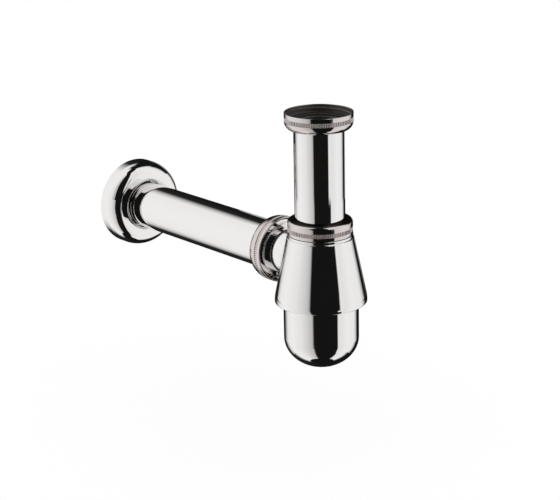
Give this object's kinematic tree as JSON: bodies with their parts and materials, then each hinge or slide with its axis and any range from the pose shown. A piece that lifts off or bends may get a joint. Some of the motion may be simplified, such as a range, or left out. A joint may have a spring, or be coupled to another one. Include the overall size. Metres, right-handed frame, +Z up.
{
  "type": "bottle trap",
  "caption": "Chromed brass bottle trap for a washbasin: adjustable inlet tube, cone-shaped bottle, unscrewing cup, coupling nuts, wall tube and rosette.",
  "frame": {"origin": "centre of the inlet nut's mouth, where the basin's waste tail screws in", "axes": "+Z up along the inlet's thread, +Y along the wall tube towards the wall"},
  "size_m": [0.061, 0.2421, 0.1675],
  "materials": {
    "polished_chrome": "mirror chrome plate on brass",
    "plated_thread": "thin satin chrome over turned brass",
    "black_rubber": "matt moulded rubber",
    "white_nylon": "natural nylon, satin"
  },
  "bodies": {
    "trap_body": {"bottle_shell": "polished_chrome", "neck_collar": "plated_thread", "branch_tube": "polished_chrome", "branch_collar": "plated_thread", "branch_gasket": "black_rubber", "cup_socket": "plated_thread"},
    "tube_seal": {"tube_seal": "black_rubber"},
    "inlet_tube": {"inlet_tube": "polished_chrome", "inlet_gasket": "black_rubber"},
    "inlet_slip_ring": {"inlet_slip_ring": "white_nylon"},
    "inlet_nut": {"inlet_nut": "polished_chrome"},
    "body_slip_ring": {"body_slip_ring": "white_nylon"},
    "body_nut": {"body_nut": "polished_chrome"},
    "branch_slip_ring": {"branch_slip_ring": "white_nylon"},
    "branch_nut": {"branch_nut": "polished_chrome"},
    "wall_tube": {"wall_tube": "polished_chrome"},
    "rosette": {"rosette": "polished_chrome"},
    "cup_gasket": {"cup_gasket": "black_rubber"},
    "cup": {"cup_collar": "plated_thread", "cup_shell": "polished_chrome"}
  },
  "joints": [
    {"name": "tube_swivel", "type": "hinge", "parent": "trap_body", "child": "tube_seal", "pos_m": [0, 0, 0], "axis": [0, 0, 1], "continuous": true},
    {"name": "tube_height", "type": "slide", "parent": "tube_seal", "child": "inlet_tube", "axis": [0, 0, 1], "range_m": [-0.003, 0.03]},
    {"name": "inlet_nut_drop", "type": "slide", "parent": "inlet_tube", "child": "inlet_slip_ring", "axis": [0, 0, 1], "range_m": [-0.04, 0]},
    {"name": "inlet_nut_turn", "type": "hinge", "parent": "inlet_slip_ring", "child": "inlet_nut", "pos_m": [0, 0, 0], "axis": [0, 0, 1], "continuous": true},
    {"name": "body_nut_lift", "type": "slide", "parent": "trap_body", "child": "body_slip_ring", "axis": [0, 0, 1], "range_m": [0, 0.0045]},
    {"name": "body_nut_turn", "type": "hinge", "parent": "body_slip_ring", "child": "body_nut", "pos_m": [0, 0, 0], "axis": [0, 0, 1], "range_deg": [0, 1080]},
    {"name": "wall_tube_swivel", "type": "hinge", "parent": "trap_body", "child": "wall_tube", "pos_m": [0, 0, -0.0975], "axis": [0, 1, 0], "continuous": true},
    {"name": "branch_nut_travel", "type": "slide", "parent": "trap_body", "child": "branch_slip_ring", "axis": [0, 1, 0], "range_m": [0, 0.00462]},
    {"name": "branch_nut_turn", "type": "hinge", "parent": "branch_slip_ring", "child": "branch_nut", "pos_m": [0, 0, -0.0975], "axis": [0, 1, 0], "range_deg": [0, 720]},
    {"name": "rosette_slide", "type": "slide", "parent": "wall_tube", "child": "rosette", "axis": [0, 1, 0], "range_m": [-0.12, 0]},
    {"name": "cup_drop", "type": "slide", "parent": "trap_body", "child": "cup_gasket", "axis": [0, 0, 1], "range_m": [-0.006, 0]},
    {"name": "cup_turn", "type": "hinge", "parent": "cup_gasket", "child": "cup", "pos_m": [0, 0, 0], "axis": [0, 0, 1], "range_deg": [-1440, 0]}
  ],
  "couplings": [
    {"joint": "body_nut_lift", "follows": "body_nut_turn", "m_per_rad": 0.00023873},
    {"joint": "branch_nut_travel", "follows": "branch_nut_turn", "m_per_rad": 0.00036749},
    {"joint": "cup_drop", "follows": "cup_turn", "m_per_rad": 0.00023873}
  ]
}
